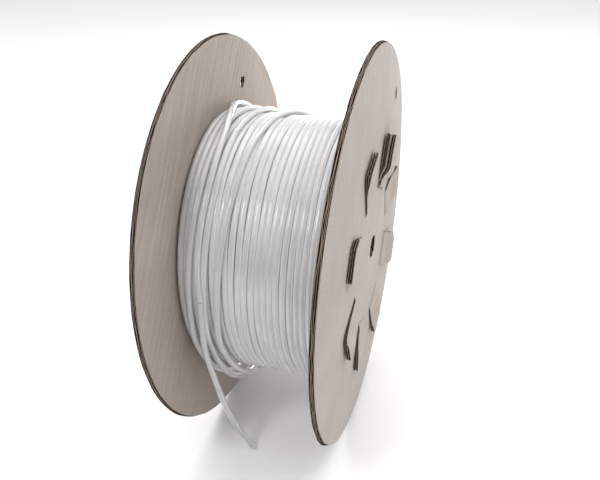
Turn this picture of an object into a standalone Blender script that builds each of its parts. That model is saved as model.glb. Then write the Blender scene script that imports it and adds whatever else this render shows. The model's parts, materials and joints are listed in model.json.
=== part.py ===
"""Knock-down reel of double-wall corrugated board, wound with clear plastic tube.

Two round board flanges are held on an eight-sided board core. Each end of each core panel has a tab
that passes through a slot in the flange and is folded outwards, flat on the flange's outer face.
Units are metres, +Z is up and X is the reel's axis. The origin is on the floor below the centre.
"""

import math

import bmesh
import bpy
from mathutils import Matrix, Vector

# Driving dimensions
FLANGE_RADIUS = 0.200
BOARD = 0.0043  # double-wall board
HUB_WIDTH = 0.150  # between the flanges' inner faces, at the core
HUB_Y, HUB_Z = -0.0045, -0.0050  # the core and the winding sit this far off the flanges' middle
GAP = 0.0003  # between pieces that touch
SLOT_CLEARANCE = 0.0005

# Core: an octagonal tube, with a glue flap that doubles one panel from inside
PANELS = 8
FIRST_PANEL_ANGLE = 21.0
CORE_APOTHEM = 0.0755  # the core's axis to the outer side of a panel
TAB_WIDTH = 0.0376
TAB_LENGTH = 0.044
TAB_CORNER = 0.005  # chamfer on a tab's free corners
SEAM_PANEL = 1  # the panel that the glue flap doubles
GLUE_FLAP_WIDTH = 0.048
SEAM_TAB_WIDTH = 0.028

# Flanges: a flat middle, and a rim that may bend inwards. The boards aren't quite square to the axis.
FLAT_RADIUS = 0.132
RIM_SEGMENTS = 128
RIM_RINGS = 4
CENTRE_HOLE_RADIUS = 0.012
CENTRE_HOLE_SEGMENTS = 32
TIE_HOLE_RADIUS = 0.0062
TIE_HOLE_SEGMENTS = 20
FLANGES = {
    "left": {
        "side": -1,
        "slope_y": 0.0044,
        "slope_z": -0.0218,
        "rim_bend": 0.0,
        "tie_hole": (0.156, 67.0),  # distance from the flange's middle, and angle
    },
    "right": {
        "side": 1,
        "slope_y": 0.0330,
        "slope_z": 0.0024,
        "rim_bend": 0.0045,
        "tie_hole": (0.164, 55.0),
    },
}
# How far each folded tab stands off its flange at rest, in degrees
TAB_LIFT = {
    "left": (2.0, 3.0, 1.5, 1.0, 2.0, 1.5, 1.5, 2.5),
    "right": (2.5, 2.5, 1.5, 1.0, 1.5, 1.0, 2.0, 4.0),
}

# Wound tube
TUBE_RADIUS = 0.003
PACK_INNER_RADIUS = 0.0825
PACK_SEGMENTS = 72
# Outer radius of the winding at shares of the width, from the left flange to the right one
PACK_PROFILE = ((0.0, 0.1300), (0.03, 0.1325), (0.5, 0.1318), (0.97, 0.1328), (1.0, 0.1310))
PACK_END_GAP = 0.0008
# Slack turns that hang below the winding: first and last angle, sag, first and last X
LOOSE_TURNS = (
    (203.0, 328.0, 0.0125, -0.0612, -0.0475),
    (200.0, 338.0, 0.0185, -0.0470, -0.0385),
    (199.0, 318.0, 0.0045, -0.0364, -0.0100),
)
LOOSE_TURN_START = 0.1365  # distance of a slack turn's ends from the core's axis
LOOSE_TURN_POINTS = 26
# Route of the free end, from the front of the winding down to the floor
TAIL_ROUTE = (
    (-0.0489, -0.1414, 0.2000),
    (-0.0494, -0.1413, 0.1800),
    (-0.0500, -0.1398, 0.1600),
    (-0.0499, -0.1376, 0.1400),
    (-0.0475, -0.1338, 0.1180),
    (-0.0448, -0.1306, 0.0980),
    (-0.0417, -0.1274, 0.0780),
    (-0.0380, -0.1240, 0.0600),
    (-0.0336, -0.1204, 0.0430),
    (-0.0276, -0.1164, 0.0260),
    (-0.0218, -0.1133, 0.0120),
    (-0.0180, -0.1114, 0.0037),
)
TAIL_POINTS = 30

MATERIALS = {
    "board": ((0.50, 0.42, 0.36), 0.85),
    "board_core": ((0.46, 0.38, 0.32), 0.85),
    "clear_tube": ((0.86, 0.87, 0.88), 0.18),
}


def material(name):
    """The material of that name, made once."""
    found = bpy.data.materials.get(name)
    if found:
        return found
    colour, roughness = MATERIALS[name]
    made = bpy.data.materials.new(name)
    made.use_nodes = True
    shader = made.node_tree.nodes["Principled BSDF"]
    shader.inputs["Base Color"].default_value = (*colour, 1.0)
    shader.inputs["Roughness"].default_value = roughness
    shader.inputs["Metallic"].default_value = 0.0
    return made


def add_object(name, bm, material_name, matrix=None, smooth_angle=None):
    """An object of that name from a bmesh, with all its faces pointing out."""
    bmesh.ops.recalc_face_normals(bm, faces=bm.faces)
    mesh = bpy.data.meshes.new(name)
    bm.to_mesh(mesh)
    bm.free()
    if smooth_angle is not None:
        mesh.shade_smooth()
        mesh.set_sharp_from_angle(angle=math.radians(smooth_angle))
    mesh.materials.append(material(material_name))
    made = bpy.data.objects.new(name, mesh)
    if matrix is not None:
        made.matrix_world = matrix
    bpy.context.scene.collection.objects.link(made)
    return made


def hub_plane(flange, y, z):
    """X of the flat inner face of a flange, at a place given from the reel's axis."""
    return flange["side"] * HUB_WIDTH / 2 + flange["slope_y"] * y + flange["slope_z"] * z


def flange_frame(flange):
    """Local +X out of the flange, local +Z up along it, and the origin on the axis at its outer face."""
    normal = Vector((1.0, -flange["slope_y"], -flange["slope_z"])).normalized()
    outwards = normal * flange["side"]
    upwards = (Vector((0.0, 0.0, 1.0)) - outwards * outwards.z).normalized()
    across = upwards.cross(outwards)
    origin = Vector((flange["side"] * HUB_WIDTH / 2, 0.0, FLANGE_RADIUS)) + outwards * BOARD
    return Matrix.Translation(origin) @ Matrix((outwards, across, upwards)).transposed().to_4x4()


def local_angle(flange, world_angle):
    """An angle about the axis in a flange's own frame, whose local Y is mirrored on the left side."""
    return math.radians(world_angle if flange["side"] > 0 else 180.0 - world_angle)


def panel_angle(panel):
    return FIRST_PANEL_ANGLE + panel * 360.0 / PANELS


def circle(radius, count, centre=(0.0, 0.0)):
    """Points round a circle in the flange's plane."""
    turns = (2 * math.pi * i / count for i in range(count))
    return [(centre[0] + radius * math.cos(t), centre[1] + radius * math.sin(t)) for t in turns]


def hub_centre(flange):
    """Where the core's axis meets the flange, in the flange's plane."""
    return flange["side"] * HUB_Y, HUB_Z


def slot_outline(flange, panel):
    """The four corners of the slot that a panel's tab passes through."""
    angle = local_angle(flange, panel_angle(panel))
    layers = 2 if panel == SEAM_PANEL else 1
    low = CORE_APOTHEM - layers * BOARD - (layers - 1) * GAP - SLOT_CLEARANCE
    high = CORE_APOTHEM + SLOT_CLEARANCE
    half = TAB_WIDTH / 2 + SLOT_CLEARANCE
    corners = ((low, -half), (high, -half), (high, half), (low, half))
    y, z = hub_centre(flange)
    return [
        (y + r * math.cos(angle) - s * math.sin(angle), z + r * math.sin(angle) + s * math.cos(angle))
        for r, s in corners
    ]


def flange_outlines(flange):
    """The edges of the flange's flat middle: its outside, the slots, the centre hole and the tie hole."""
    distance, angle = flange["tie_hole"]
    outlines = [circle(FLAT_RADIUS, RIM_SEGMENTS), circle(CENTRE_HOLE_RADIUS, CENTRE_HOLE_SEGMENTS)]
    outlines += [slot_outline(flange, panel) for panel in range(PANELS)]
    return outlines, (distance, local_angle(flange, angle))


def rim_depth(flange, radius):
    """How far the rim has bent inwards at a radius."""
    share = max(0.0, (radius - FLAT_RADIUS) / (FLANGE_RADIUS - FLAT_RADIUS))
    return flange["rim_bend"] * share**1.5


def fill_between(bm, outlines):
    """Fills the first outline, leaving the others open, on the flange's outer face."""
    edges = []
    for outline in outlines:
        ring = [bm.verts.new((0.0, y, z)) for y, z in outline]
        edges += [bm.edges.new((ring[i - 1], ring[i])) for i in range(len(ring))]
    bmesh.ops.triangle_fill(bm, use_beauty=True, use_dissolve=False, edges=edges, normal=(1, 0, 0))


def make_flange(name, flange):
    """A round board: flat in the middle, and bent a little towards the winding at its rim."""
    outlines, (tie_distance, tie_angle) = flange_outlines(flange)
    bm = bmesh.new()
    fill_between(bm, outlines)
    inside = [v for v in bm.verts if abs(math.hypot(v.co.y, v.co.z) - FLAT_RADIUS) < 1e-6]
    ring = sorted(inside, key=lambda v: math.atan2(v.co.z, v.co.y))
    for step in range(1, RIM_RINGS + 1):
        radius = FLAT_RADIUS + (FLANGE_RADIUS - FLAT_RADIUS) * step / RIM_RINGS
        grown = [bm.verts.new((-rim_depth(flange, radius), v.co.y, v.co.z)) for v in ring]
        for v in grown:
            scale = radius / math.hypot(v.co.y, v.co.z)
            v.co.y *= scale
            v.co.z *= scale
        for i in range(len(ring)):
            bm.faces.new((ring[i - 1], ring[i], grown[i], grown[i - 1]))
        ring = grown
    bmesh.ops.recalc_face_normals(bm, faces=bm.faces)
    thick = bmesh.ops.extrude_face_region(bm, geom=list(bm.faces))
    moved = [v for v in thick["geom"] if isinstance(v, bmesh.types.BMVert)]
    bmesh.ops.translate(bm, vec=(-BOARD, 0.0, 0.0), verts=moved)
    made = add_object(name, bm, "board", flange_frame(flange), smooth_angle=30)
    cut_tie_hole(made, tie_distance, tie_angle)
    return made


def cut_tie_hole(board, distance, angle):
    """Cuts the small hole near the rim that a line's end is tied through."""
    bm = bmesh.new()
    bmesh.ops.create_cone(
        bm,
        cap_ends=True,
        segments=TIE_HOLE_SEGMENTS,
        radius1=TIE_HOLE_RADIUS,
        radius2=TIE_HOLE_RADIUS,
        depth=10 * BOARD,
        matrix=Matrix.Rotation(math.pi / 2, 4, "Y"),
    )
    cutter = add_object(board.name + "_tie_hole_cutter", bm, "board")
    place = Matrix.Translation((0.0, distance * math.cos(angle), distance * math.sin(angle)))
    cutter.matrix_world = board.matrix_world @ place
    cutter.hide_render = True
    cutter.display_type = "WIRE"
    cut = board.modifiers.new("tie_hole", "BOOLEAN")
    cut.operation = "DIFFERENCE"
    cut.object = cutter


def end_x(flange, y, z, beyond):
    """X of a plane parallel to a flange's inner face, that far beyond it."""
    return hub_plane(flange, y, z) + flange["side"] * beyond


def make_core():
    """The octagonal tube. Each panel's middle runs on through the flanges, and its shoulders stop at them."""
    left, right = FLANGES["left"], FLANGES["right"]
    levels = ((left, BOARD), (left, -GAP), (right, -GAP), (right, BOARD))
    half_step = math.pi / PANELS
    bm = bmesh.new()
    made = {}

    def vertex(panel, column, level, outer):
        """Column 0 is the corner before a panel, and 1 and 2 are the edges of its tab."""
        key = (panel % PANELS, column, level, outer)
        if key not in made:
            radial = CORE_APOTHEM if outer else CORE_APOTHEM - BOARD
            along = (-radial * math.tan(half_step), -TAB_WIDTH / 2, TAB_WIDTH / 2)[column]
            angle = math.radians(panel_angle(panel))
            y = HUB_Y + radial * math.cos(angle) - along * math.sin(angle)
            z = HUB_Z + radial * math.sin(angle) + along * math.cos(angle)
            flange, beyond = levels[level]
            made[key] = bm.verts.new((end_x(flange, y, z, beyond), y, z))
        return made[key]

    def wall(panel, columns, low, high):
        """The two sides of the panel between two columns and two levels."""
        for outer in (False, True):
            (p0, c0), (p1, c1) = ((panel + c // 3, c % 3) for c in columns)
            bm.faces.new(
                (
                    vertex(p0, c0, low, outer),
                    vertex(p1, c1, low, outer),
                    vertex(p1, c1, high, outer),
                    vertex(p0, c0, high, outer),
                )
            )

    def edge_face(ends):
        """A strip of end grain between two places, from the inner side to the outer one."""
        (p0, c0, l0), (p1, c1, l1) = ends
        inner = (vertex(p0, c0, l0, False), vertex(p1, c1, l1, False))
        bm.faces.new((*inner, vertex(p1, c1, l1, True), vertex(p0, c0, l0, True)))

    for panel in range(PANELS):
        for columns in ((0, 1), (1, 2), (2, 3)):
            wall(panel, columns, 1, 2)
        for shoulder, end in ((1, 0), (2, 3)):
            wall(panel, (1, 2), *sorted((shoulder, end)))
            edge_face(((panel, 0, shoulder), (panel, 1, shoulder)))
            edge_face(((panel, 1, shoulder), (panel, 1, end)))
            edge_face(((panel, 1, end), (panel, 2, end)))
            edge_face(((panel, 2, end), (panel, 2, shoulder)))
            edge_face(((panel, 2, shoulder), (panel + 1, 0, shoulder)))
    return add_object("core_tube", bm, "board_core", Matrix.Translation((0.0, 0.0, FLANGE_RADIUS)))


def make_glue_flap():
    """The end of the core's blank, glued inside the seam panel, with a tab of its own at each end."""
    left, right = FLANGES["left"], FLANGES["right"]
    outer = CORE_APOTHEM - BOARD - GAP
    angle = math.radians(panel_angle(SEAM_PANEL))
    wide, narrow = GLUE_FLAP_WIDTH / 2, SEAM_TAB_WIDTH / 2
    reach = 2 * BOARD + GAP
    outline = (
        (left, -GAP, -wide),
        (left, -GAP, -narrow),
        (left, reach, -narrow),
        (left, reach, narrow),
        (left, -GAP, narrow),
        (left, -GAP, wide),
        (right, -GAP, wide),
        (right, -GAP, narrow),
        (right, reach, narrow),
        (right, reach, -narrow),
        (right, -GAP, -narrow),
        (right, -GAP, -wide),
    )
    bm = bmesh.new()
    rings = []
    for radial in (outer - BOARD, outer):
        ring = []
        for flange, beyond, along in outline:
            y = HUB_Y + radial * math.cos(angle) - along * math.sin(angle)
            z = HUB_Z + radial * math.sin(angle) + along * math.cos(angle)
            ring.append(bm.verts.new((end_x(flange, y, z, beyond), y, z)))
        rings.append(ring)
        bm.faces.new(ring)
    for i in range(len(outline)):
        bm.faces.new((rings[0][i - 1], rings[0][i], rings[1][i], rings[1][i - 1]))
    return add_object("core_glue_flap", bm, "board_core", Matrix.Translation((0.0, 0.0, FLANGE_RADIUS)))


def make_tab(name, flange, panel, lift, layer):
    """A folded tab. Its origin is on its crease, local X runs along it and local Z off the flange."""
    angle = local_angle(flange, panel_angle(panel))
    radial = Vector((0.0, math.cos(angle), math.sin(angle)))
    outwards = Vector((1.0, 0.0, 0.0))
    crease = Vector((0.0, *hub_centre(flange)))
    crease += radial * (CORE_APOTHEM - layer * (BOARD + GAP)) + outwards * (GAP + layer * (BOARD + GAP))
    axes = Matrix((radial, outwards.cross(radial), outwards)).transposed().to_4x4()
    rest = Matrix.Rotation(-math.radians(lift), 4, "Y")
    half = (SEAM_TAB_WIDTH if layer else TAB_WIDTH) / 2
    end = TAB_LENGTH + layer * (BOARD + GAP)
    outline = (
        (GAP, -half),
        (end - TAB_CORNER, -half),
        (end, -half + TAB_CORNER),
        (end, half - TAB_CORNER),
        (end - TAB_CORNER, half),
        (GAP, half),
    )
    bm = bmesh.new()
    face = bm.faces.new([bm.verts.new((x, y, 0.0)) for x, y in outline])
    thick = bmesh.ops.extrude_face_region(bm, geom=[face])
    moved = [v for v in thick["geom"] if isinstance(v, bmesh.types.BMVert)]
    bmesh.ops.translate(bm, vec=(0.0, 0.0, BOARD), verts=moved)
    place = flange_frame(flange) @ Matrix.Translation(crease) @ axes @ rest
    return add_object(name, bm, "board", place)


def make_pack():
    """The closed shape that the wound turns fill, from one flange to the other."""
    left, right = FLANGES["left"], FLANGES["right"]
    section = [(0.0, PACK_INNER_RADIUS), *PACK_PROFILE, (1.0, PACK_INNER_RADIUS)]
    bm = bmesh.new()
    rings = []
    for i in range(PACK_SEGMENTS):
        turn = 2 * math.pi * i / PACK_SEGMENTS
        ring = []
        for share, radius in section:
            y, z = HUB_Y + radius * math.cos(turn), HUB_Z + radius * math.sin(turn)
            low, high = end_x(left, y, z, -PACK_END_GAP), end_x(right, y, z, -PACK_END_GAP)
            ring.append(bm.verts.new((low + (high - low) * share, y, z)))
        rings.append(ring)
    for i in range(PACK_SEGMENTS):
        for j in range(len(section)):
            bm.faces.new((rings[i - 1][j - 1], rings[i - 1][j], rings[i][j], rings[i][j - 1]))
    place = Matrix.Translation((0.0, 0.0, FLANGE_RADIUS))
    return add_object("line_pack", bm, "clear_tube", place, smooth_angle=30)


def smooth_route(points, count):
    """That many points, evenly spaced, on a smooth curve through the given ones."""
    points = [Vector(p) for p in points]
    ends = [2 * points[0] - points[1], *points, 2 * points[-1] - points[-2]]
    fine = []
    steps = 40
    for i in range(len(points) - 1):
        a, b, c, d = ends[i : i + 4]
        for k in range(steps):
            t = k / steps
            bend = 2 * b + (c - a) * t + (2 * a - 5 * b + 4 * c - d) * t**2 + (3 * b - a - 3 * c + d) * t**3
            fine.append(bend / 2)
    fine.append(points[-1])
    along = [0.0]
    for a, b in zip(fine, fine[1:]):
        along.append(along[-1] + (b - a).length)
    out = []
    k = 0
    for i in range(count):
        want = along[-1] * i / (count - 1)
        while k < len(fine) - 2 and along[k + 1] < want:
            k += 1
        out.append(fine[k].lerp(fine[k + 1], (want - along[k]) / (along[k + 1] - along[k])))
    return out


def make_tube(name, points):
    """A solid round tube along points, with closed ends."""
    curve = bpy.data.curves.new(name, "CURVE")
    curve.dimensions = "3D"
    curve.bevel_depth = TUBE_RADIUS
    curve.bevel_resolution = 2
    curve.use_fill_caps = True
    spline = curve.splines.new("POLY")
    spline.points.add(len(points) - 1)
    for place, point in zip(spline.points, points):
        place.co = (*point, 1.0)
    spline.use_smooth = True
    curve.materials.append(material("clear_tube"))
    made = bpy.data.objects.new(name, curve)
    bpy.context.scene.collection.objects.link(made)
    return made


def loose_turn_points(first, last, sag, x_first, x_last):
    """A turn that leaves the winding at one angle, hangs away from it and meets it again at another."""
    points = []
    for i in range(LOOSE_TURN_POINTS):
        share = i / (LOOSE_TURN_POINTS - 1)
        angle = math.radians(first + (last - first) * share)
        radius = LOOSE_TURN_START + sag * math.sin(math.pi * share) ** 2
        x = x_first + (x_last - x_first) * share
        y = HUB_Y + radius * math.cos(angle)
        z = FLANGE_RADIUS + HUB_Z + radius * math.sin(angle)
        points.append(Vector((x, y, z)))
    return points


def main():
    for old in list(bpy.data.objects):
        bpy.data.objects.remove(old, do_unlink=True)
    for side, flange in FLANGES.items():
        make_flange(f"flange_{side}", flange)
        for panel in range(PANELS):
            make_tab(f"fold_tab_{side}_{panel + 1}", flange, panel, TAB_LIFT[side][panel], layer=0)
        make_tab(f"seam_tab_{side}", flange, SEAM_PANEL, TAB_LIFT[side][SEAM_PANEL], layer=1)
    make_core()
    make_glue_flap()
    make_pack()
    for number, turn in enumerate(LOOSE_TURNS, start=1):
        make_tube(f"loose_turn_{number}", loose_turn_points(*turn))
    make_tube("line_tail", smooth_route(TAIL_ROUTE, TAIL_POINTS))


main()
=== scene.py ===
import json
import math

import bmesh
import bpy
import numpy as np
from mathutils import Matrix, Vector, noise
from mathutils.geometry import delaunay_2d_cdt


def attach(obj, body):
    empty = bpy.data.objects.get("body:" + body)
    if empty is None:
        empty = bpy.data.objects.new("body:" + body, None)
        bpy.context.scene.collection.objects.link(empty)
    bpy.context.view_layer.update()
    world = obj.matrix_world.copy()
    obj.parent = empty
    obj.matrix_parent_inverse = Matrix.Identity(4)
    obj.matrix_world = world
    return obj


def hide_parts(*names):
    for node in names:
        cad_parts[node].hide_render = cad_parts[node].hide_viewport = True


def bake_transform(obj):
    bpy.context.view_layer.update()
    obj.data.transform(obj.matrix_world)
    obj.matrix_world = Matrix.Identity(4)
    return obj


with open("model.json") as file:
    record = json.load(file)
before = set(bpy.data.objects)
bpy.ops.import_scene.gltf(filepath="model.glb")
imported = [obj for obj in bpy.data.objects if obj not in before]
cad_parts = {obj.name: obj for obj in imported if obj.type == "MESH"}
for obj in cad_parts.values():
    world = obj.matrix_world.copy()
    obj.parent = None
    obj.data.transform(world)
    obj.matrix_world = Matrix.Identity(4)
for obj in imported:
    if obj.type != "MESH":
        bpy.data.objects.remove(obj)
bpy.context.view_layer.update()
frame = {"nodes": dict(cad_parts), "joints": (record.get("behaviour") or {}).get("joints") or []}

# Light
ROOM_SHADE = 0.30  # how bright the room is in front
BACKDROP = 1.20  # how bright it is behind the reel

# Sizes that part.py has too, in metres, with angles in degrees
AXIS_Z = 0.200
FLANGE_RADIUS = 0.200
BOARD = 0.0043
HUB_WIDTH = 0.150
HUB_Y, HUB_Z = -0.0045, -0.0050
GAP = 0.0003
SLOT_CLEARANCE = 0.0005
PANELS = 8
FIRST_PANEL_ANGLE = 21.0
SEAM_PANEL = 1
CORE_APOTHEM = 0.0755
TAB_WIDTH = 0.0376
TAB_LENGTH = 0.044
GLUE_FLAP_WIDTH = 0.048
SEAM_TAB_WIDTH = 0.028
FLAT_RADIUS = 0.132
CENTRE_HOLE_RADIUS = 0.012
TIE_HOLE_RADIUS = 0.0062
TUBE_RADIUS = 0.003
# Each tie hole's distance from the flange's middle, and its angle
TIE_HOLES = {"left": (0.156, 67.0), "right": (0.164, 55.0)}
# How a flange's plane leans: the X it gains along Y and along Z
SLOPES = {"left": (0.0044, -0.0218), "right": (0.0330, 0.0024)}
RIM_BEND = {"left": 0.0, "right": 0.0045}
SIDE_SIGN = {"left": -1, "right": 1}
# How far each tab has sprung back from the flange
TAB_LIFT = {
    "left": (2.0, 3.0, 1.5, 1.0, 2.0, 1.5, 1.5, 2.5),
    "right": (2.5, 2.5, 1.5, 1.0, 1.5, 1.0, 2.0, 4.0),
}
# The winding's outer radius at shares of its width
PACK_PROFILE = ((0.0, 0.1300), (0.03, 0.1325), (0.5, 0.1318), (0.97, 0.1328), (1.0, 0.1310))
# Slack turns: first and last angle, sag, first and last X
LOOSE_TURNS = (
    (203.0, 328.0, 0.0125, -0.0612, -0.0475),
    (200.0, 338.0, 0.0185, -0.0470, -0.0385),
    (199.0, 318.0, 0.0045, -0.0364, -0.0100),
)
LOOSE_TURN_START = 0.1365
TAIL_ROUTE = (
    (-0.0489, -0.1414, 0.2000),
    (-0.0494, -0.1413, 0.1800),
    (-0.0500, -0.1398, 0.1600),
    (-0.0499, -0.1376, 0.1400),
    (-0.0475, -0.1338, 0.1180),
    (-0.0448, -0.1306, 0.0980),
    (-0.0417, -0.1274, 0.0780),
    (-0.0380, -0.1240, 0.0600),
    (-0.0336, -0.1204, 0.0430),
    (-0.0276, -0.1164, 0.0260),
    (-0.0218, -0.1133, 0.0120),
    (-0.0180, -0.1114, 0.0037),
)

# Winding
BORE_RADIUS = 0.002
LAYERS = 9
LAYER_STEP = 0.0052
TURNS_PER_LAYER = 23.6
LAST_TURN_ANGLE = 300.0  # where the outer layer ends, at the right flange
SMOOTH_STEPS, HIDDEN_STEPS = 120, 60  # points in a turn, in the two outer layers and in the others
SMOOTH_SIDES, HIDDEN_SIDES = 12, 6  # and sides of the tube there
LOOSE_SIDES, TAIL_SIDES = 14, 18
TAIL_POINTS = 90
# The heap of turns at the left end, near the top: its height and angle, and its spread round and across
RAISED, RAISED_ANGLE = 0.0045, 96.0
RAISED_SPREAD, RAISED_WIDTH = 38.0, 0.085
# Turns that lie over the outer layer, from the end of the winding to each slack turn and to the loose end:
# angle round the core's axis (from +Y towards +Z), X, and distance from the axis
OVER_TURNS = (
    (
        (300.0, 0.0690, 0.1295),
        (322.0, 0.0590, 0.1345),
        (370.0, 0.0300, 0.1350),
        (410.0, 0.0040, 0.1345),
        (450.0, -0.0200, 0.1325),
        (500.0, -0.0300, 0.1320),
        (540.0, -0.0345, 0.1345),
        (552.0, -0.0358, 0.1363),
        (559.0, -0.0364, 0.1365),
    ),
    (
        (318.0, -0.0100, 0.1365),
        (330.0, -0.0123, 0.1362),
        (370.0, -0.0210, 0.1345),
        (450.0, -0.0440, 0.1342),
        (500.0, -0.0462, 0.1322),
        (540.0, -0.0467, 0.1345),
        (553.0, -0.0470, 0.1363),
        (560.0, -0.0470, 0.1365),
    ),
    (
        (338.0, -0.0385, 0.1365),
        (350.0, -0.0400, 0.1360),
        (390.0, -0.0465, 0.1345),
        (450.0, -0.0580, 0.1350),
        (480.0, -0.0600, 0.1328),
        (510.0, -0.0606, 0.1322),
        (545.0, -0.0611, 0.1345),
        (556.0, -0.0612, 0.1363),
        (563.0, -0.0612, 0.1365),
    ),
    (
        (328.0, -0.0475, 0.1365),
        (340.0, -0.0488, 0.1362),
        (380.0, -0.0575, 0.1352),
        (410.0, -0.0655, 0.1365),
        (432.0, -0.0695, 0.1388),
        (443.0, -0.0670, 0.1400),
        (452.0, -0.0620, 0.1405),
        (462.0, -0.0565, 0.1398),
        (473.0, -0.0533, 0.1375),
        (490.0, -0.0520, 0.1345),
        (507.0, -0.0524, 0.1338),
        (520.0, -0.0523, 0.1345),
        (530.0, -0.0508, 0.1362),
        (537.9, -0.0489, 0.1370),
    ),
)
DEGREE_AS_LENGTH = 0.002  # about a degree's arc, in metres, which spaces the points on these turns

# Board: depths below the outer face of the three liners and the two rows of flutes, with each row's pitch
LINERS = ((0.0, 0.00040), (0.00195, 0.00225), (0.0039, BOARD))
FLUTES = ((0.00040, 0.00195, 0.0060), (0.00225, 0.0039, 0.0082))
MEDIUM_THICKNESS = 0.00040
LINER_FACE, PAINTED_SHADE_INSIDE, CUT_EDGE = 0, 1, 2  # the materials of a piece of board, in this order; the inside one is painted near black as shade
# How far the die crushed the rim back, at each liner
RIM_RECESS = {"left": (0.0, 0.0005, 0.0013), "right": (0.0016, 0.0008, 0.0)}
RAGGED_RIM, RAGGED_CENTRE, RAGGED_TIE = 0.0008, 0.0030, 0.0022
# The fluted papers are made only where a cut edge shows them: how far in from each edge
RIM_BAND, CENTRE_BAND, TIE_BAND = 0.014, 0.009, 0.007
HOLE_RECESS = 0.0006  # how far the fluted papers stay back from a hole's edge
FLUTE_ANGLE = {"left": 54.0, "right": 74.0}  # which way the flutes run, from +Y towards +Z
WASHBOARD = {"left": 0.00010, "right": 0.00006}  # how far the flutes show through the outside liners
DEEPEST_RELIEF = 0.00033
DENT_DEPTH = 0.00012
CREASE_WIDTH, CREASE_SWERVE = 0.0016, 0.0008
# Creases along the flutes: distance across them from the flange's middle, and depth
CREASES = {
    "left": (
        (0.0588, 0.00030),
        (-0.0262, 0.00012),
        (0.0205, 0.00010),
        (-0.0420, 0.00014),
        (-0.0780, 0.00012),
    ),
    "right": ((0.0900, 0.00010), (-0.0650, 0.00014), (0.0350, 0.00010)),
}

# Colours
KRAFT_LEFT = ((0.43, 0.37, 0.325), (0.54, 0.475, 0.425))
KRAFT_RIGHT = ((0.43, 0.385, 0.355), (0.50, 0.455, 0.425))
KRAFT_CORE = ((0.42, 0.365, 0.32), (0.50, 0.44, 0.40))
CUT_PAPER = ((0.22, 0.165, 0.125), (0.50, 0.40, 0.33))
# Near black: painted shade for the board's inside and its fluted papers
PAINTED_SHADE_PAPER = ((0.012, 0.008, 0.006), (0.030, 0.020, 0.015))
# The clear tube's colours are painted shade and light: grey across its middle for the shade seen through its
# bore, white at its sides for light in the grooves between turns
TUBE_BORE_PAINTED_SHADE, TUBE_SIDE_PAINTED_LIGHT = (0.58, 0.59, 0.61), (0.97, 0.97, 0.97)


# ---------------------------------------------------------------- camera, lights, floor

def make_camera():
    """A normal lens in front of the reel, above it and a little to its right."""
    data = bpy.data.cameras.new("camera")
    data.sensor_width = 36.0
    data.lens = 36.0
    camera = bpy.data.objects.new("camera", data)
    bpy.context.scene.collection.objects.link(camera)
    camera.location = (0.15195, -0.5400, 0.4928)
    camera.rotation_mode = "QUATERNION"
    camera.rotation_quaternion = Vector((-0.236, 0.852, -0.468)).to_track_quat("-Z", "Y")
    bpy.context.scene.camera = camera


def add_area(name, place, target, size, power):
    data = bpy.data.lights.new(name, "AREA")
    data.shape = "RECTANGLE"
    data.size, data.size_y = size
    data.energy = power
    lamp = bpy.data.objects.new(name, data)
    bpy.context.scene.collection.objects.link(lamp)
    lamp.location = place
    lamp.visible_camera = False
    lamp.rotation_mode = "QUATERNION"
    lamp.rotation_quaternion = (Vector(target) - Vector(place)).to_track_quat("-Z", "Y")


def make_world():
    """Brightest behind the reel, and darker in front, where the room is."""
    world = bpy.data.worlds.new("studio")
    world.use_nodes = True
    tree = world.node_tree
    background = tree.nodes["Background"]
    background.inputs["Color"].default_value = (1.0, 1.0, 1.0, 1.0)
    source = tree.nodes.new("ShaderNodeTexCoord")
    towards = tree.nodes.new("ShaderNodeVectorMath")
    towards.operation = "DOT_PRODUCT"
    towards.inputs[1].default_value = (0.0, 1.0, 0.0)
    shade = tree.nodes.new("ShaderNodeMapRange")
    shade.inputs["From Min"].default_value = -0.8
    shade.inputs["From Max"].default_value = 0.7
    shade.inputs["To Min"].default_value = ROOM_SHADE
    shade.inputs["To Max"].default_value = BACKDROP
    tree.links.new(source.outputs["Generated"], towards.inputs[0])
    tree.links.new(towards.outputs["Value"], shade.inputs["Value"])
    tree.links.new(shade.outputs["Result"], background.inputs["Strength"])
    bpy.context.scene.world = world


def make_stage():
    """A plain pale floor, soft light from above and behind, and a window in front for the gloss."""
    make_world()
    bpy.context.scene.view_settings.view_transform = "Standard"
    mesh = bpy.data.meshes.new("floor")
    half = 9.0
    corners = [(-half, -half, 0), (half, -half, 0), (half, half, 0), (-half, half, 0)]
    mesh.from_pydata(corners, [], [(0, 1, 2, 3)])
    floor = bpy.data.objects.new("floor", mesh)
    bpy.context.scene.collection.objects.link(floor)
    mat = bpy.data.materials.new("floor")
    mat.use_nodes = True
    shader = mat.node_tree.nodes["Principled BSDF"]
    shader.inputs["Base Color"].default_value = (0.95, 0.95, 0.95, 1.0)
    shader.inputs["Roughness"].default_value = 0.9
    mesh.materials.append(mat)
    add_area("top", (0.2, 0.6, 3.0), (0.0, 0.1, 0.2), (3.4, 3.4), 62.0)
    add_area("window", (-0.37, -0.93, 1.22), (0.0, -0.11, 0.27), (0.26, 0.42), 5.5)
    add_area("behind", (0.0, 1.2, 0.22), (0.0, 0.1, 0.0), (1.2, 0.3), 8.0)


# ---------------------------------------------------------------- materials

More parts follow.
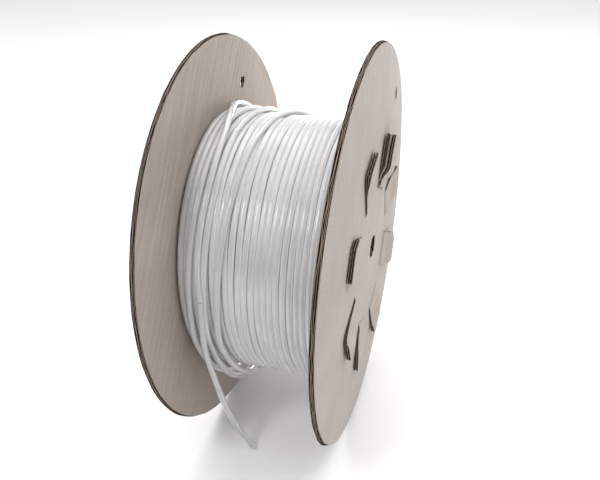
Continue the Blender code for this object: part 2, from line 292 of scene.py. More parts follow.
class Nodes:
    """A material's node tree, with short calls to add and join nodes."""

    def __init__(self, name):
        self.material = bpy.data.materials.new(name)
        self.material.use_nodes = True
        self.tree = self.material.node_tree
        self.shader = self.tree.nodes["Principled BSDF"]

    def add(self, kind, **settings):
        node = self.tree.nodes.new(kind)
        for key, value in settings.items():
            setattr(node, key, value)
        return node

    def join(self, output, socket):
        self.tree.links.new(output, socket)

    def coordinates(self, angle_x=0.0, scale=(1.0, 1.0, 1.0)):
        """Object coordinates turned about X, so that a stretched pattern runs along the flutes."""
        source = self.add("ShaderNodeTexCoord")
        turn = self.add("ShaderNodeMapping")
        turn.inputs["Rotation"].default_value = (angle_x, 0.0, 0.0)
        stretch = self.add("ShaderNodeMapping")
        stretch.inputs["Scale"].default_value = scale
        self.join(source.outputs["Object"], turn.inputs["Vector"])
        self.join(turn.outputs["Vector"], stretch.inputs["Vector"])
        return stretch.outputs["Vector"]

    def noise(self, vector, scale, detail=4.0, roughness=0.55):
        node = self.add("ShaderNodeTexNoise")
        node.inputs["Scale"].default_value = scale
        node.inputs["Detail"].default_value = detail
        node.inputs["Roughness"].default_value = roughness
        self.join(vector, node.inputs["Vector"])
        return node.outputs["Fac"]

    def ramp(self, value, stops):
        node = self.add("ShaderNodeValToRGB")
        ramp = node.color_ramp
        while len(ramp.elements) < len(stops):
            ramp.elements.new(0.5)
        for element, (place, colour) in zip(ramp.elements, stops):
            element.position = place
            element.color = (*colour, 1.0) if len(colour) == 3 else colour
        self.join(value, node.inputs["Fac"])
        return node.outputs["Color"]

    def grey(self, value, start, end, first=0.0, last=1.0):
        """A grey ramp: the first shade up to the start, and the last from the end on."""
        return self.ramp(value, ((start, (first,) * 3), (end, (last,) * 3)))

    def mix(self, factor, a, b):
        node = self.add("ShaderNodeMix", data_type="RGBA")
        for value, socket in ((factor, node.inputs[0]), (a, node.inputs[6]), (b, node.inputs[7])):
            if isinstance(value, bpy.types.NodeSocket):
                self.join(value, socket)
            else:
                socket.default_value = value if isinstance(value, float) else (*value, 1.0)
        return node.outputs[2]

    def bump(self, height, distance, strength=1.0):
        node = self.add("ShaderNodeBump")
        node.inputs["Strength"].default_value = strength
        node.inputs["Distance"].default_value = distance
        self.join(height, node.inputs["Height"])
        self.join(node.outputs["Normal"], self.shader.inputs["Normal"])


def scaled(colour, by):
    return tuple(by * c for c in colour)


def board_material(name, angle, low, high, streak=1.0):
    """Kraft liner: fibres and faint streaks along the flutes, a fine mottle and soft stains."""
    n = Nodes(name)
    turn = -math.radians(angle)
    streaks = n.noise(n.coordinates(turn, (1.0, 0.045, 1.0)), 260.0, detail=3.0)
    fibres = n.noise(n.coordinates(turn, (1.0, 0.25, 1.0)), 1400.0, detail=5.0, roughness=0.65)
    mottle = n.noise(n.coordinates(), 520.0, detail=4.0, roughness=0.7)
    stains = n.noise(n.coordinates(), 14.0, detail=3.0)
    middle = tuple((a + b) / 2 for a, b in zip(low, high))
    darker = tuple(m + (a - m) * streak for m, a in zip(middle, low))
    lighter = tuple(m + (b - m) * streak for m, b in zip(middle, high))
    colour = n.ramp(streaks, ((0.30, darker), (0.70, lighter)))
    colour = n.mix(n.grey(fibres, 0.35, 0.75, last=0.25), colour, scaled(low, 0.82))
    colour = n.mix(n.grey(mottle, 0.36, 0.58, first=0.42, last=0.0), colour, scaled(low, 0.78))
    colour = n.mix(n.grey(stains, 0.42, 0.68, last=0.22), colour, scaled(high, 1.15))
    n.join(colour, n.shader.inputs["Base Color"])
    n.shader.inputs["Roughness"].default_value = 0.82
    n.shader.inputs["Specular IOR Level"].default_value = 0.28
    n.bump(fibres, 0.00012, 0.5)
    return n.material


def paper_material(name, low, high):
    """Plain paper with fibres: the board's cut edges, and its inside, painted near black as the shade where
    little light gets in.
    """
    n = Nodes(name)
    fibres = n.noise(n.coordinates(), 1800.0, detail=3.0)
    n.join(n.ramp(fibres, ((0.3, low), (0.7, high))), n.shader.inputs["Base Color"])
    n.shader.inputs["Roughness"].default_value = 0.95
    n.shader.inputs["Specular IOR Level"].default_value = 0.1
    return n.material


def tube_material(name, centre, painted_side_light, see_through):
    """Clear tube: white painted as light at its sides, beside a grey painted as the shade across its bore,
    and some light goes through it.
    """
    n = Nodes(name)
    across = n.add("ShaderNodeAttribute", attribute_name="painted_side_light")
    drift = n.noise(n.coordinates(), 16.0, detail=2.0)
    scuffs = n.noise(n.coordinates(), 240.0, detail=3.0)
    # The bore's painted grey drifts at random towards a paler grey; the sides get the painted white light
    paler_painted_shade = tuple(0.55 * c + 0.45 * w for c, w in zip(centre, painted_side_light))
    pale = n.mix(n.grey(drift, 0.35, 0.65), centre, paler_painted_shade)
    colour = n.mix(n.grey(across.outputs["Fac"], 0.56, 0.68), pale, painted_side_light)
    n.join(colour, n.shader.inputs["Base Color"])
    n.join(n.grey(scuffs, 0.35, 0.70, first=0.10, last=0.24), n.shader.inputs["Roughness"])
    n.shader.inputs["IOR"].default_value = 1.45
    n.shader.inputs["Specular IOR Level"].default_value = 0.55
    n.shader.inputs["Transmission Weight"].default_value = see_through
    n.shader.inputs["Subsurface Weight"].default_value = 0.7
    n.shader.inputs["Subsurface Radius"].default_value = (1.0, 1.0, 1.0)
    n.shader.inputs["Subsurface Scale"].default_value = 0.004
    n.shader.inputs["Coat Weight"].default_value = 0.9
    n.shader.inputs["Coat Roughness"].default_value = 0.08
    return n.material


# ---------------------------------------------------------------- meshes

def add_mesh(name, points, faces, materials, face_materials=None, smooth=True, attributes=None):
    """An object from points and faces, with its faces turned outwards."""
    mesh = bpy.data.meshes.new(name)
    mesh.from_pydata([tuple(p) for p in points], [], faces)
    for mat in materials:
        mesh.materials.append(mat)
    if face_materials is not None:
        mesh.polygons.foreach_set("material_index", np.asarray(face_materials, dtype=np.int32))
    for key, values in (attributes or {}).items():
        layer = mesh.attributes.new(key, "FLOAT", "POINT")
        layer.data.foreach_set("value", np.asarray(values, dtype=np.float32))
    mesh.update()
    bm = bmesh.new()
    bm.from_mesh(mesh)
    bmesh.ops.recalc_face_normals(bm, faces=bm.faces)
    bm.to_mesh(mesh)
    bm.free()
    if smooth:
        mesh.shade_smooth()
        mesh.set_sharp_from_angle(angle=math.radians(40))
    made = bpy.data.objects.new(name, mesh)
    bpy.context.scene.collection.objects.link(made)
    return made


def sweep(points, across, upward, radii, sides):
    """Rings round a line: one ring for each radius, and for each point how far it lies to the side, where the
    tube's material paints light.
    """
    points, across, upward = (np.asarray(v, float) for v in (points, across, upward))
    turn = 2 * math.pi * np.arange(sides) / sides
    rings = []
    for radius in radii:
        ring = (
            points[:, None, :]
            + radius * np.cos(turn)[None, :, None] * upward[:, None, :]
            + radius * np.sin(turn)[None, :, None] * across[:, None, :]
        )
        rings.append(ring.reshape(-1, 3))
    return rings, np.tile(np.abs(np.sin(turn)), len(points))


def tube_faces(count, sides, start=0, flip=False):
    faces = []
    for i in range(count - 1):
        for j in range(sides):
            a, b = start + i * sides + j, start + i * sides + (j + 1) % sides
            quad = (a, b, b + sides, a + sides)
            faces.append(quad[::-1] if flip else quad)
    return faces


def solid_tube(name, points, across, upward, radius, sides, mat):
    """A round solid tube with flat ends."""
    (ring,), painted_side_light = sweep(points, across, upward, (radius,), sides)
    count = len(points)
    faces = tube_faces(count, sides)
    faces.append(tuple(range(sides))[::-1])
    faces.append(tuple(range((count - 1) * sides, count * sides)))
    return add_mesh(name, ring, faces, [mat], attributes={"painted_side_light": painted_side_light})


def hollow_tube(name, points, sides, mat):
    """A tube with its bore, cut square at both ends."""
    points = np.asarray(points, float)
    tangent = np.gradient(points, axis=0)
    tangent /= np.linalg.norm(tangent, axis=1)[:, None]
    across = np.cross(tangent, (0.0, 1.0, 0.3))
    across /= np.linalg.norm(across, axis=1)[:, None]
    upward = np.cross(across, tangent)
    (outer, bore), painted_side_light = sweep(points, across, upward, (TUBE_RADIUS, BORE_RADIUS), sides)
    count = len(points)
    total = count * sides
    faces = tube_faces(count, sides) + tube_faces(count, sides, total, flip=True)
    for end in (0, (count - 1) * sides):
        for j in range(sides):
            k = (j + 1) % sides
            quad = (end + j, end + k, total + end + k, total + end + j)
            faces.append(quad[::-1] if end == 0 else quad)
    return add_mesh(name, np.concatenate([outer, bore]), faces, [mat], attributes={"painted_side_light": np.tile(painted_side_light, 2)})


def smooth_route(points, count):
    """That many points, evenly spaced, on a smooth curve through the given ones."""
    points = np.asarray(points, float)
    ends = np.concatenate([[2 * points[0] - points[1]], points, [2 * points[-1] - points[-2]]])
    fine = []
    for i in range(len(points) - 1):
        a, b, c, d = ends[i : i + 4]
        slope, square, cube = c - a, 2 * a - 5 * b + 4 * c - d, 3 * b - a - 3 * c + d
        for t in np.arange(0.0, 1.0, 0.02):
            fine.append((2 * b + slope * t + square * t**2 + cube * t**3) / 2)
    fine = np.array([*fine, points[-1]])
    along = np.concatenate([[0.0], np.cumsum(np.linalg.norm(np.diff(fine, axis=0), axis=1))])
    at = np.linspace(0.0, along[-1], count)
    return np.stack([np.interp(at, along, fine[:, k]) for k in range(3)], axis=1)


# ---------------------------------------------------------------- the flanges

def flange_axes(side):
    """The flange's outer centre, and its outward, across and upward directions."""
    slope_y, slope_z = SLOPES[side]
    normal = Vector((1.0, -slope_y, -slope_z)).normalized()
    outwards = normal * SIDE_SIGN[side]
    upwards = (Vector((0.0, 0.0, 1.0)) - outwards * outwards.z).normalized()
    across = upwards.cross(outwards)
    origin = Vector((SIDE_SIGN[side] * HUB_WIDTH / 2, 0.0, AXIS_Z)) + outwards * BOARD
    return origin, outwards, across, upwards


def local_degrees(side, world_angle):
    return world_angle if side == "right" else 180.0 - world_angle


def ring_points(radius, count, centre=(0.0, 0.0), ragged=0.0, seed=0.0):
    """Points round a circle, moved in and out a little where the edge is ragged."""
    out = []
    for i in range(count):
        t = 2 * math.pi * i / count
        grown = radius + ragged * noise.noise((math.cos(t) * radius * 400, math.sin(t) * radius * 400, seed))
        out.append((centre[0] + grown * math.cos(t), centre[1] + grown * math.sin(t)))
    return out


def slot_points(side, panel):
    """The corners of the slot that a panel's tab passes through, in the flange's plane."""
    angle = math.radians(local_degrees(side, FIRST_PANEL_ANGLE + 45.0 * panel))
    layers = 2 if panel == SEAM_PANEL else 1
    low = CORE_APOTHEM - layers * BOARD - (layers - 1) * GAP - SLOT_CLEARANCE
    high = CORE_APOTHEM + SLOT_CLEARANCE
    half = TAB_WIDTH / 2 + SLOT_CLEARANCE
    corners = ((low, -half), (high, -half), (high, half), (low, half))
    y, z = SIDE_SIGN[side] * HUB_Y, HUB_Z
    return [
        (y + r * math.cos(angle) - s * math.sin(angle), z + r * math.sin(angle) + s * math.cos(angle))
        for r, s in corners
    ]


def rim_depth(side, radius):
    """How far the rim has bent inwards at a radius."""
    share = max(0.0, (radius - FLAT_RADIUS) / (FLANGE_RADIUS - FLAT_RADIUS))
    return RIM_BEND[side] * share**1.5


class Ply:
    """The plan of one sheet of the board: triangles inside an outline and round its holes."""

    def __init__(self, side, outline, holes, step_across, step_along):
        angle = math.radians(local_degrees(side, FLUTE_ANGLE[side]))
        self.along = np.array((math.cos(angle), math.sin(angle)))
        self.over = np.array((-self.along[1], self.along[0]))
        loops = [outline, *holes]
        points = [Vector(p) for loop in loops for p in loop]
        edges, start = [], 0
        for loop in loops:
            order = list(range(start, start + len(loop)))
            edges += [(order[i - 1], order[i]) for i in range(len(order))]
            start += len(loop)
        points += [Vector(p) for p in self.inner_points(step_across, step_along, outline, holes)]
        made = delaunay_2d_cdt(points, edges, [], 2, 1e-7, False)
        verts = np.array([tuple(v) for v in made[0]])
        triangles = np.array([tuple(f) for f in made[2]], int)
        centre = verts[triangles].mean(axis=1)
        inside = np.ones(len(triangles), bool)
        for hole in holes:
            inside &= ~in_polygon(centre, np.array(hole))
        self.verts, self.triangles = verts, triangles[inside]

    def inner_points(self, step_across, step_along, outline, holes):
        """A grid in line with the flutes, inside the outline and outside the holes."""
        reach = FLANGE_RADIUS
        rows = np.arange(-reach, reach + step_across, step_across)
        cols = np.arange(-reach, reach + step_along, step_along)
        q, s = np.meshgrid(rows, cols, indexing="ij")
        grid = q.reshape(-1, 1) * self.over + s.reshape(-1, 1) * self.along
        inside = in_polygon(grid, np.array(outline))
        for hole in holes:
            inside &= ~in_polygon(grid, np.array(hole))
        return grid[inside]


def in_polygon(points, polygon):
    """Which points lie inside a polygon."""
    x, y = points[:, 0], points[:, 1]
    inside = np.zeros(len(points), bool)
    px, py = polygon[:, 0], polygon[:, 1]
    qx, qy = np.roll(px, 1), np.roll(py, 1)
    low = np.array((px.min(), py.min())) - 1e-9
    high = np.array((px.max(), py.max())) + 1e-9
    near = np.where(((points >= low) & (points <= high)).all(axis=1))[0]
    for a, b, c, d in zip(px, py, qx, qy):
        crosses = (b > y[near]) != (d > y[near])
        with np.errstate(divide="ignore", invalid="ignore"):
            at = (c - a) * (y[near] - b) / (d - b) + a
        inside[near] ^= crosses & (x[near] < at)
    return inside


def to_world(side, flat, depth):
    """Points of the flange's plane at depths below its outer face, bent at the rim, in the row frame."""
    origin, outwards, across, upwards = (np.array(v) for v in flange_axes(side))
    radius = np.hypot(flat[:, 0], flat[:, 1])
    bend = np.array([rim_depth(side, r) for r in radius])
    down = depth + bend
    return origin - down[:, None] * outwards + flat[:, :1] * across + flat[:, 1:] * upwards


def ply_mesh(name, side, ply, top, bottom, mats, surface_mats):
    """A closed sheet between two depths, which are arrays with a value for each of the ply's points."""
    count = len(ply.verts)
    points = np.concatenate([to_world(side, ply.verts, top), to_world(side, ply.verts, bottom)])
    triangles = ply.triangles
    edges = np.concatenate([triangles[:, [0, 1]], triangles[:, [1, 2]], triangles[:, [2, 0]]])
    keys = np.sort(edges, axis=1)
    _, first, uses = np.unique(keys, axis=0, return_index=True, return_counts=True)
    open_edges = edges[first[uses == 1]]
    faces = [tuple(t) for t in triangles.tolist()]
    faces += [tuple(t) for t in (triangles[:, ::-1] + count).tolist()]
    faces += [(b, a, a + count, b + count) for a, b in open_edges.tolist()]
    numbers = [surface_mats[0]] * len(triangles) + [surface_mats[1]] * len(triangles)
    numbers += [CUT_EDGE] * len(open_edges)
    return add_mesh(name, points, faces, mats, numbers)


def across_flutes(side, flat):
    """How far points of the flange's plane lie from its middle, across the flutes."""
    angle = math.radians(local_degrees(side, FLUTE_ANGLE[side]))
    return -flat[:, 0] * math.sin(angle) + flat[:, 1] * math.cos(angle)


def surface_relief(side, flat, pitch):
    """How deep an outside liner lies below its crests: between the flutes, in creases and in dents."""
    q = across_flutes(side, flat)
    ridges = WASHBOARD[side] * (1 - np.cos(2 * math.pi * q / pitch))
    for place, depth in CREASES[side]:
        swerve = CREASE_SWERVE * np.sin(flat[:, 1] * 55.0 + place * 300)
        ridges += depth * np.exp(-(((q - place - swerve) / CREASE_WIDTH) ** 2))
    dents = np.array([noise.noise((y * 22, z * 22, 5.0 if side == "left" else 9.0)) for y, z in flat])
    radius = np.hypot(flat[:, 0], flat[:, 1])
    fade = np.clip((FLANGE_RADIUS - radius) / 0.003, 0.2, 1)
    return np.minimum(ridges + DENT_DEPTH * np.clip(dents, 0, 1), DEEPEST_RELIEF) * fade


def make_flange(side, mats):
    """Three liners over the whole board, and the fluted papers where a cut edge shows them."""
    distance, angle = TIE_HOLES[side]
    angle = math.radians(local_degrees(side, angle))
    tie_centre = (distance * math.cos(angle), distance * math.sin(angle))
    slots = [slot_points(side, panel) for panel in range(PANELS)]
    for number, (top, bottom) in enumerate(LINERS):
        reach = FLANGE_RADIUS - 0.0004 - RIM_RECESS[side][number]
        rim = ring_points(reach, 1400, ragged=RAGGED_RIM, seed=number * 7.3)
        centre = ring_points(CENTRE_HOLE_RADIUS, 60, ragged=RAGGED_CENTRE, seed=number * 3.1 + 5)
        tie = ring_points(TIE_HOLE_RADIUS, 40, tie_centre, ragged=RAGGED_TIE, seed=number * 1.7 + 9)
        outside = number != 1
        steps = (0.0011, 0.009) if outside else (0.012, 0.03)
        ply = Ply(side, rim, [centre, tie, *slots], *steps)
        if outside:
            relief = surface_relief(side, ply.verts, FLUTES[0 if number == 0 else 1][2])
        else:
            relief = np.zeros(len(ply.verts))
        out_side = top + (relief if number == 0 else 0)
        in_side = bottom - (relief if number == 2 else 0)
        # Faces inside the board get the near-black painted shade
        surface_mats = ((LINER_FACE, PAINTED_SHADE_INSIDE), (PAINTED_SHADE_INSIDE, PAINTED_SHADE_INSIDE), (PAINTED_SHADE_INSIDE, LINER_FACE))[number]
        name = f"flange_{side}_liner_{number + 1}"
        piece = ply_mesh(name, side, ply, out_side, in_side, mats, surface_mats)
        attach(piece, "core")
        if number == 0:
            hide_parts(f"flange_{side}")
    for number, (top, bottom, pitch) in enumerate(FLUTES):
        make_medium(side, number, top, bottom, pitch, tie_centre, mats)


def make_medium(side, number, top, bottom, pitch, tie_centre, mats):
    """A fluted paper, in a band inside the rim and round the holes."""
    rim = FLANGE_RADIUS - 0.0008 - (RIM_RECESS[side][number] + RIM_RECESS[side][number + 1]) / 2
    bands = (
        ((0.0, 0.0), rim, FLANGE_RADIUS - RIM_BAND, 2000),
        ((0.0, 0.0), CENTRE_HOLE_RADIUS + CENTRE_BAND, CENTRE_HOLE_RADIUS + HOLE_RECESS, 150),
        (tie_centre, TIE_HOLE_RADIUS + TIE_BAND, TIE_HOLE_RADIUS + HOLE_RECESS, 90),
    )
    for band, (centre, outer, inner, count) in enumerate(bands):
        seed = number * 11.0 + band * 5.0
        outline = ring_points(outer, count, centre, RAGGED_RIM if band == 0 else 0.0, seed)
        hole = ring_points(inner, count if band else 400, centre, 0.0 if band == 0 else RAGGED_TIE, seed)
        ply = Ply(side, outline, [hole], pitch / 10, 0.005)
        q = across_flutes(side, ply.verts)
        wave = 0.5 - 0.5 * np.cos(2 * math.pi * q / pitch + number)
        height = top + MEDIUM_THICKNESS / 2 + (bottom - top - MEDIUM_THICKNESS) * wave
        low, high = height - MEDIUM_THICKNESS / 2, height + MEDIUM_THICKNESS / 2
        name = f"flange_{side}_flutes_{number + 1}_{band + 1}"
        # The fluted paper gets the near-black painted shade on both faces
        piece = ply_mesh(name, side, ply, low, high, mats, (PAINTED_SHADE_INSIDE, PAINTED_SHADE_INSIDE))
        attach(piece, "core")


# ---------------------------------------------------------------- the folded tabs

CRUSHED = 0.0012  # the board's thickness at its crease
SEAM_DROP = 0.0036  # how far the glue flap's tab sinks at its root, over the crushed tab below it
ROOT = -0.0041  # where a tab's upper surface leaves the slot, from its crease
ABOVE_FLANGE = 0.00005  # the gap between the flange and a tab that lies on it
SIDE_GAP = 0.0002  # how much narrower a tab is on each side than its CAD solid
BUCKLED, FRAYED, TORN = 0.0004, 0.0006, 0.0009  # how uneven a tab's faces, sides and free end are
TAB_ROWS, TAB_COLUMNS = 34, 17
WAVE_STEPS = 9  # points in each flute of a tab
# Where the board begins and ends to bend at the crease: distances along the tab and out from the flange
# Each right tab's own shape, in millimetres. For its edge at the lower panel angle and for the other one:
# where the board starts to spring back and where it is whole again. Then what is cut off each free corner
TAB_SHAPE = (
    (14.0, 36.0, 16.0, 40.0, 6.0, 6.0),
    (1.0, 10.0, 1.0, 13.0, 3.0, 3.0),
    (6.0, 30.0, 20.0, 44.0, 3.0, 3.0),
    (16.0, 34.0, 6.0, 22.0, 9.0, 2.0),
    (32.0, 62.0, 8.0, 24.0, 4.0, 6.0),
    (5.0, 44.0, 5.0, 30.0, 2.0, 6.0),
    (18.0, 44.0, 10.0, 30.0, 2.0, 8.0),
    (16.0, 40.0, 10.0, 30.0, 8.0, 10.0),
)


def smooth_step(t):
    t = min(1.0, max(0.0, t))
    return t * t * (3 - 2 * t)


def tab_thickness(x, crushed_to, whole_from):
    """The folded board's thickness at a distance from its crease."""
    return CRUSHED + (BOARD - CRUSHED) * smooth_step((x - crushed_to) / (whole_from - crushed_to))


def tab_width_at(left_over, half, cut):
    """Half the tab's width near its free end, where a corner is cut off."""
    return half - max(0.0, cut - left_over) * 0.8


def make_tab(side, panel, layer, board_mats):
    """A tab: three liners and two rows of flutes, crushed where it folds over at the slot."""
    name = f"seam_tab_{side}" if layer else f"fold_tab_{side}_{panel + 1}"
    joint_name = f"fold_{side}_seam" if layer else f"fold_{side}_{panel + 1}"
    joint = next(j for j in frame["joints"] if j["name"] == joint_name)
    crease, axis = Vector(joint["pos_m"]), Vector(joint["axis"]).normalized()
    outwards = flange_axes(side)[1]
    radial = outwards.cross(axis)
    across = outwards.cross(radial)
    turned = math.radians(TAB_LIFT[side][panel])
    shape = [0.001 * v for v in TAB_SHAPE[(panel * 3 + 2) % PANELS if side == "left" else panel]]
    edges, cuts = (shape[:2], shape[2:4]), shape[4:]
    length = TAB_LENGTH + layer * (BOARD + GAP)
    half = (SEAM_TAB_WIDTH if layer else TAB_WIDTH) / 2 - SIDE_GAP
    seed = panel * 3.7 + layer * 1.9 + (40.0 if side == "left" else 0.0)

    def place(share, across_share, height):
        """A point of the tab from its share of the length, of the width, and of the thickness."""
        spring = [a + (b - a) * (across_share + 1) / 2 for a, b in zip(*edges)]
        root = ROOT * height
        x = root + (length - root) * share
        low = ABOVE_FLANGE - 0.0003 * smooth_step(1 - (x + 0.0005) / 0.001)
        thick = tab_thickness(x, *spring)
        if layer:
            under = tab_thickness(x - BOARD - GAP, *spring) + 0.0001 - BOARD - GAP
            low = min(-0.0001, under) if x > BOARD else -SEAM_DROP
            low = max(low, -SEAM_DROP)
        round_off = smooth_step((x - ROOT) / 0.0032)
        z = low + thick * height * (round_off if x < 0.001 else 1.0)
        z += BUCKLED * noise.noise((x * 110, across_share * 1.5, seed)) * smooth_step(x / length)
        cut = cuts[0] if across_share < 0 else cuts[1]
        narrow = tab_width_at(length - x, half, cut)
        frayed = FRAYED * noise.noise((x * 300, seed + height * 2, 3.0 if across_share > 0 else 9.0))
        y = across_share * narrow + frayed * abs(across_share) ** 3
        x += TORN * noise.noise((y * 220, seed + height * 2, 1.0)) * share**4
        turn = turned * smooth_step((x + 0.004) / 0.009)
        return (
            crease
            + radial * (x * math.cos(turn) - z * math.sin(turn))
            + outwards * (x * math.sin(turn) + z * math.cos(turn))
            + across * y
        )

    points, faces, mats = [], [], []
    rows = [(i / TAB_ROWS) ** 1.25 for i in range(TAB_ROWS + 1)]

    def sheet(low_height, high_height, columns, surface_mats, waves):
        """One ply: its lower and upper surface, joined round their edges."""
        start = len(points)
        wide = len(columns)
        for surface in (0, 1):
            for share in rows:
                for column in columns:
                    if waves is None:
                        height = (low_height, high_height)[surface]
                    else:
                        phase = 2 * math.pi * column * half / waves
                        mid = low_height + (high_height - low_height) * (0.5 - 0.5 * math.cos(phase + seed))
                        height = mid + (-0.03, 0.03)[surface]
                    points.append(place(share, column, height))
        size = len(rows) * wide
        for i in range(len(rows) - 1):
            for j in range(wide - 1):
                a = start + i * wide + j
                faces.append((a, a + 1, a + wide + 1, a + wide))
                faces.append((a + size, a + size + wide, a + size + wide + 1, a + size + 1))
                mats.extend(surface_mats)
        for i in range(len(rows) - 1):
            for j in (0, wide - 1):
                a = start + i * wide + j
                faces.append((a, a + wide, a + size + wide, a + size))
                mats.append(CUT_EDGE)
        for j in range(wide - 1):
            for i in (0, len(rows) - 1):
                a = start + i * wide + j
                faces.append((a, a + 1, a + size + 1, a + size))
                mats.append(CUT_EDGE)

    smooth_columns = [-1 + 2 * i / (TAB_COLUMNS - 1) for i in range(TAB_COLUMNS)]
    # Liner faces inside the tab get the near-black painted shade
    liner_faces = ((PAINTED_SHADE_INSIDE, LINER_FACE), (PAINTED_SHADE_INSIDE, PAINTED_SHADE_INSIDE), (LINER_FACE, PAINTED_SHADE_INSIDE))
    for (top, bottom), surface_mats in zip(LINERS, liner_faces):
        sheet(1 - bottom / BOARD, 1 - top / BOARD, smooth_columns, surface_mats, None)
    for top, bottom, pitch in FLUTES:
        count = int(2 * half / (pitch / WAVE_STEPS))
        columns = [-0.995 + 1.99 * i / count for i in range(count + 1)]
        inset = 0.03
        sheet(1 - bottom / BOARD + inset, 1 - top / BOARD - inset, columns, (PAINTED_SHADE_INSIDE, PAINTED_SHADE_INSIDE), pitch)
    piece = add_mesh(f"{name}_board", points, faces, board_mats, mats)
    piece.data.set_sharp_from_angle(angle=math.radians(50))
    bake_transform(piece)
    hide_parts(name)


def make_glue_flap(mat):
    """The end of the core's blank, inside the seam panel. Its tabs' roots are crushed down to the flange."""
    outer = CORE_APOTHEM - BOARD - GAP
    angle = math.radians(FIRST_PANEL_ANGLE + 45.0 * SEAM_PANEL)
    wide, narrow = GLUE_FLAP_WIDTH / 2, SEAM_TAB_WIDTH / 2
    reach = 2 * BOARD + GAP - SEAM_DROP
    half_outline = (
        (-GAP, -wide),
        (-GAP, -narrow),
        (reach, -narrow),
        (reach, narrow),
        (-GAP, narrow),
        (-GAP, wide),
    )
    outline = [("left", *p) for p in half_outline] + [("right", *p) for p in half_outline[::-1]]
    points = []
    for radial in (outer - BOARD, outer):
        for side, beyond, along in outline:
            y = HUB_Y + radial * math.cos(angle) - along * math.sin(angle)
            z = HUB_Z + radial * math.sin(angle) + along * math.cos(angle)
            points.append((hub_plane(side, y, z) + SIDE_SIGN[side] * beyond, y, AXIS_Z + z))
    count = len(outline)
    faces = [tuple(range(count)), tuple(range(count, 2 * count))]
    faces += [((i - 1) % count, i, count + i, count + (i - 1) % count) for i in range(count)]
    piece = add_mesh("glue_flap_board", points, faces, [mat], smooth=False)
    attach(piece, "core")
    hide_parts("core_glue_flap")


# ---------------------------------------------------------------- the winding

def hub_plane(side, y, z):
    slope_y, slope_z = SLOPES[side]
    return SIDE_SIGN[side] * HUB_WIDTH / 2 + slope_y * y + slope_z * z


def pack_radius(share):
    """The winding's outer radius at a share of its width."""
    shares, radii = zip(*PACK_PROFILE)
    return np.interp(share, shares, radii)


def layer_route(layer, steps):
    """The turns of one layer, counted from inside: every other one runs left, and each climbs to the next."""
    turns_left = (LAYERS - layer) * TURNS_PER_LAYER
    part = np.linspace(0.0, 1.0, int(TURNS_PER_LAYER * steps) + 1)
    turn = np.radians(LAST_TURN_ANGLE - 360.0 * (turns_left - TURNS_PER_LAYER * part))
    share = part if layer % 2 == 0 else 1 - part
    radius = pack_radius(share) - TUBE_RADIUS - LAYER_STEP * (LAYERS - 1 - layer)
    if layer < LAYERS - 1:
        climb = np.clip((part - 0.996) / 0.004, 0, 1)
        radius += LAYER_STEP * climb * climb * (3 - 2 * climb)
    points = []
    for angle, along, r in zip(turn, share, radius):
        y, z = math.cos(angle), math.sin(angle)
        loop = angle / (2 * math.pi)
        sway = 0.0016 * noise.noise((y * 1.2, z * 1.2, along * 7 + layer * 3))
        sway += 0.0006 * noise.noise((y * 1.6, z * 1.6, loop * 0.9))
        r += 0.0003 * noise.noise((y * 1.4 + 7, z * 1.4, loop * 0.9))
        from_heap = (math.degrees(angle) - RAISED_ANGLE + 180) % 360 - 180
        r += RAISED * math.exp(-((from_heap / RAISED_SPREAD) ** 2) - (along / RAISED_WIDTH) ** 2)
        y, z = HUB_Y + y * r, HUB_Z + z * r
        gap = TUBE_RADIUS + 0.0010
        low, high = hub_plane("left", y, z) + gap, hub_plane("right", y, z) - gap
        fade = math.sin(math.pi * along)
        points.append((min(high, max(low, low + (high - low) * along + sway * fade)), y, AXIS_Z + z))
    return np.array(points)


def make_pack(mat):
    """The wound turns, layer by layer."""
    for layer in range(LAYERS):
        outer = layer >= LAYERS - 2
        points = layer_route(layer, SMOOTH_STEPS if outer else HIDDEN_STEPS)
        sides = SMOOTH_SIDES if outer else HIDDEN_SIDES
        away = points - np.array((0.0, HUB_Y, AXIS_Z + HUB_Z))
        away[:, 0] = 0.0
        upward = away / np.linalg.norm(away, axis=1)[:, None]
        across = np.tile((1.0, 0.0, 0.0), (len(points), 1))
        name = f"line_layer_{layer + 1}"
        piece = solid_tube(name, points, across, upward, TUBE_RADIUS * 0.99, sides, mat)
        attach(piece, "core")
        if layer == LAYERS - 1:
            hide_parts("line_pack")


def make_over_turns(mat):
    """The turns that lie over the outer layer and join it, the slack turns and the loose end."""
    for number, route in enumerate(OVER_TURNS, start=1):
        fine = smooth_route(np.array(route) * (DEGREE_AS_LENGTH, 1.0, 1.0), 260)
        turn = np.radians(fine[:, 0] / DEGREE_AS_LENGTH)
        y = HUB_Y + fine[:, 2] * np.cos(turn)
        z = AXIS_Z + HUB_Z + fine[:, 2] * np.sin(turn)
        piece = hollow_tube(f"over_turn_{number}", np.stack([fine[:, 1], y, z], axis=1), LOOSE_SIDES, mat)
        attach(piece, "core")


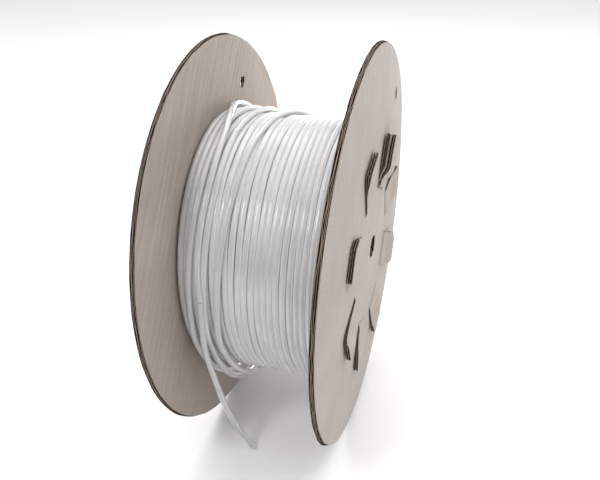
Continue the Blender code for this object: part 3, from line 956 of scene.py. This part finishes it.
def loose_turn_points(first, last, sag, x_first, x_last, count=60):
    """A turn that leaves the winding at one angle, hangs away from it and meets it again at another."""
    share = np.linspace(0.0, 1.0, count)
    angle = np.radians(first + (last - first) * share)
    radius = LOOSE_TURN_START + sag * np.sin(math.pi * share) ** 2
    x = x_first + (x_last - x_first) * share
    return np.stack([x, HUB_Y + radius * np.cos(angle), AXIS_Z + HUB_Z + radius * np.sin(angle)], axis=1)


def declare_cord(piece, node):
    """A free stretch of the line: it rides on the core, and the CAD piece that it stands for is hidden."""
    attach(piece, "core")
    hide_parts(node)


def make_cords(mat):
    """The slack turns below the winding, and the loose end."""
    for number, turn in enumerate(LOOSE_TURNS, start=1):
        points = loose_turn_points(*turn)
        piece = hollow_tube(f"slack_turn_{number}", points, LOOSE_SIDES, mat)
        declare_cord(piece, f"loose_turn_{number}")
    points = smooth_route(TAIL_ROUTE, TAIL_POINTS)
    declare_cord(hollow_tube("line_end", points, TAIL_SIDES, mat), "line_tail")


def dress_cad(liner_mat):
    """The core keeps its CAD shape, in plain board."""
    shown = frame["nodes"]["core_tube"]
    shown.data.materials.clear()
    shown.data.materials.append(liner_mat)


def main():
    make_camera()
    make_stage()
    liner = {
        "left": board_material("kraft_left", FLUTE_ANGLE["left"], *KRAFT_LEFT, streak=1.1),
        "right": board_material("kraft_right", FLUTE_ANGLE["right"], *KRAFT_RIGHT, streak=0.6),
    }
    tab_liner = board_material("kraft_core", 0.0, *KRAFT_CORE)
    cut = paper_material("cut_edge", *CUT_PAPER)
    # The board's inside is painted near black, as shade
    inside = paper_material("inside_board_painted_shade", *PAINTED_SHADE_PAPER)
    tube = tube_material("clear_tube", TUBE_BORE_PAINTED_SHADE, TUBE_SIDE_PAINTED_LIGHT, see_through=0.20)
    make_cords(tube)
    for side in ("left", "right"):
        make_flange(side, [liner[side], inside, cut])
        for panel in range(PANELS):
            make_tab(side, panel, 0, [tab_liner, inside, cut])
        make_tab(side, SEAM_PANEL, 1, [tab_liner, inside, cut])
    make_glue_flap(tab_liner)
    make_pack(tube)
    make_over_turns(tube)
    dress_cad(tab_liner)


main()
